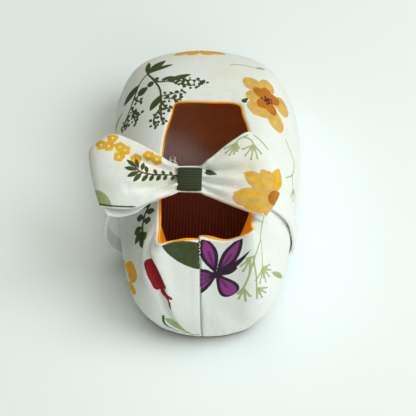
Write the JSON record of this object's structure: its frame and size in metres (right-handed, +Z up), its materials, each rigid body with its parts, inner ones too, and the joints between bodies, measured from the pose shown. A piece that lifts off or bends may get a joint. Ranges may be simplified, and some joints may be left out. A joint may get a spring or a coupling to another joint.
{
  "type": "baby shoe",
  "caption": "Soft baby shoe: a round-toed cloth upper with an open collar on a thin sole, with an elastic over the opening and a ribbon-tied bow.",
  "frame": {"origin": "on the floor, in the middle of the flat spot under the heel", "axes": "+Z up, +Y to the toe, +X to the outer side, away from the other shoe"},
  "size_m": [0.0703, 0.1145, 0.0569],
  "materials": {
    "outsole": "tan brushed sole cloth",
    "insole": "dark brown ribbed sock liner",
    "upper": "off-white cotton with a wildflower print, orange lining",
    "strap": "flat white elastic",
    "bow": "off-white cotton with a wildflower print",
    "bow_band": "dark green ribbed ribbon"
  },
  "bodies": {
    "root": {"outsole": "outsole", "insole": "insole", "upper": "upper", "strap": "strap", "bow": "bow", "bow_band": "bow_band"}
  },
  "joints": []
}
